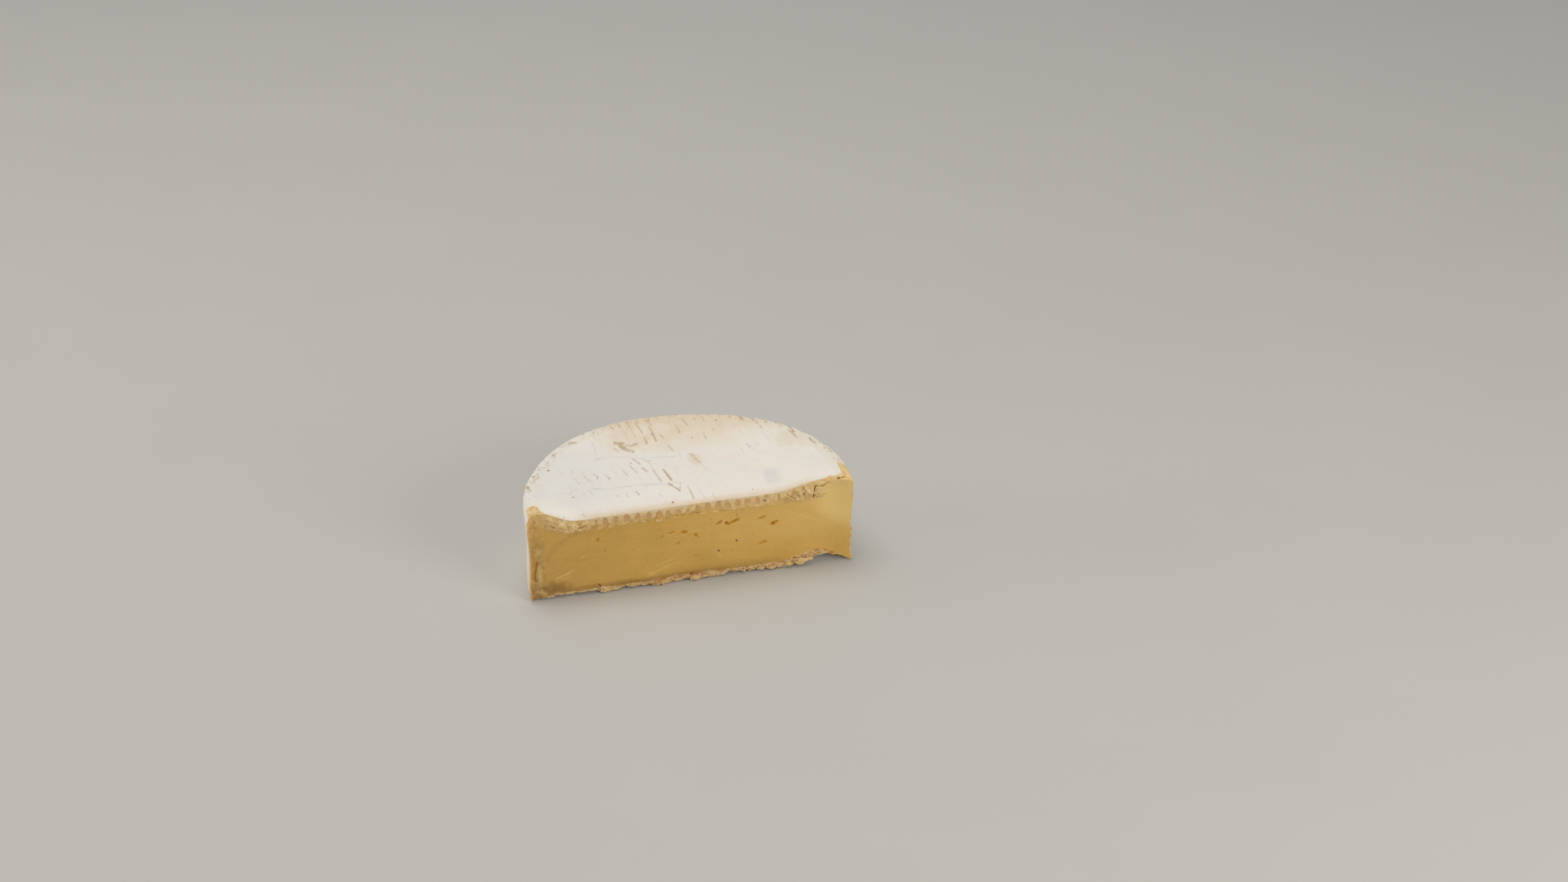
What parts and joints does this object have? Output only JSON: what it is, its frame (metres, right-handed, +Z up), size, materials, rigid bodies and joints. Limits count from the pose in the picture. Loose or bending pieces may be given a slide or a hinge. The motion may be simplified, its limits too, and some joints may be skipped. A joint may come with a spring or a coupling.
{
  "type": "camembert half wheel",
  "caption": "Half of a round soft-ripened cheese lying flat, with a white bloomy rind, a dished top and a straight cut face showing pale yellow paste.",
  "frame": {"origin": "on the resting surface, under the middle of the footprint's box", "axes": "+X to the right along the cut, -Y out of the cut face, +Z up"},
  "size_m": [0.105, 0.0546, 0.0332],
  "materials": {
    "rind_and_paste": "matte white bloomy rind on the top, side and base, satin yellow paste on the cut face"
  },
  "bodies": {
    "root": {"half_wheel": "rind_and_paste"}
  },
  "joints": []
}
